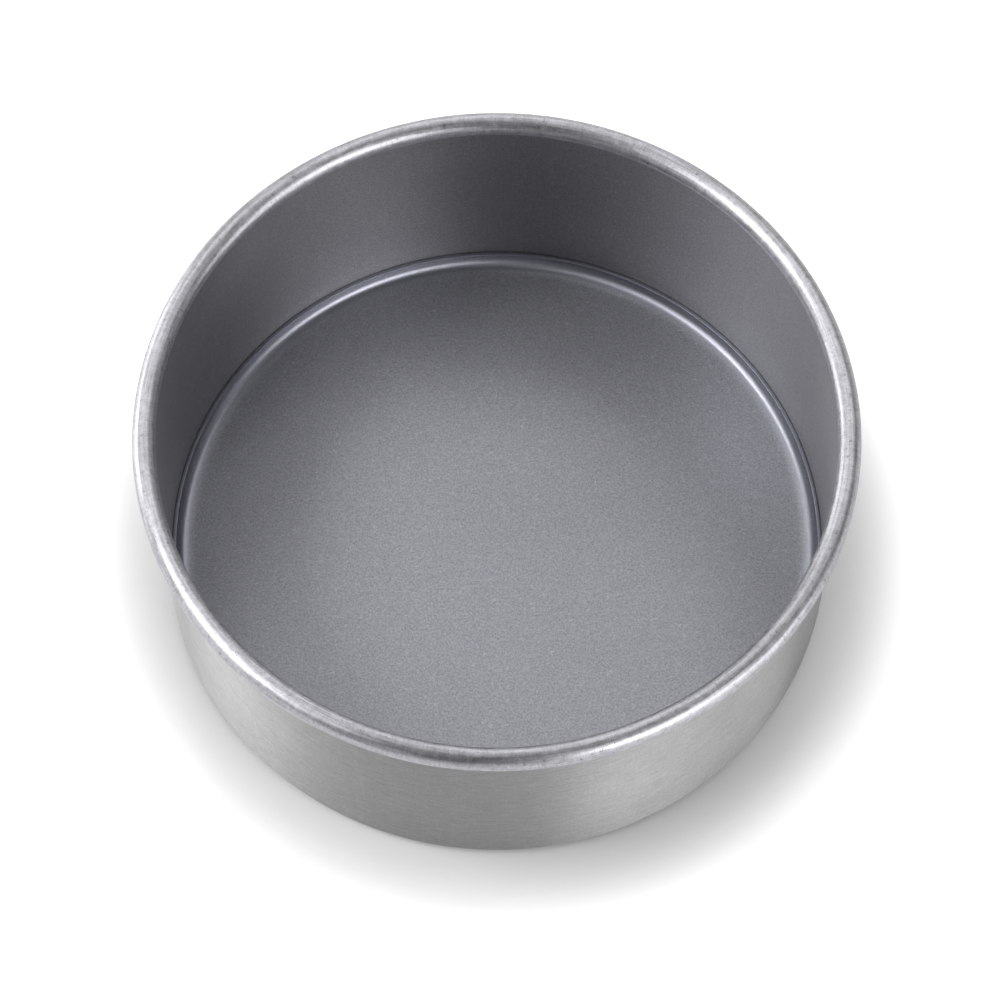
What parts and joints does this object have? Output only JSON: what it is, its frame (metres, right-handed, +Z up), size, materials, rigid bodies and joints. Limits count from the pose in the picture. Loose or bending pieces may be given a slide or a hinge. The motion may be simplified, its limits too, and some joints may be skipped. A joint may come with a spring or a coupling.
{
  "type": "round cake tin",
  "caption": "Deep round cake tin with a straight wall, a rolled rim and a loose base that lies on an inward ledge and pushes up to release the cake.",
  "frame": {"origin": "centre of the underside, where the tin's axis meets the surface that it stands on", "axes": "+Z up along the tin's axis, towards its open mouth; the tin is round, so X and Y are any two directions across it"},
  "size_m": [0.19, 0.19, 0.075],
  "materials": {
    "wall_sheet": "satin, drawn and lightly brushed round the wall",
    "base_sheet": "matt, fine grained"
  },
  "bodies": {
    "tin": {"side_wall": "wall_sheet"},
    "base": {"loose_base": "base_sheet"}
  },
  "joints": [
    {"name": "base_lift", "type": "slide", "parent": "tin", "child": "base", "axis": [0, 0, 1], "range_m": [0, 0.08]}
  ]
}
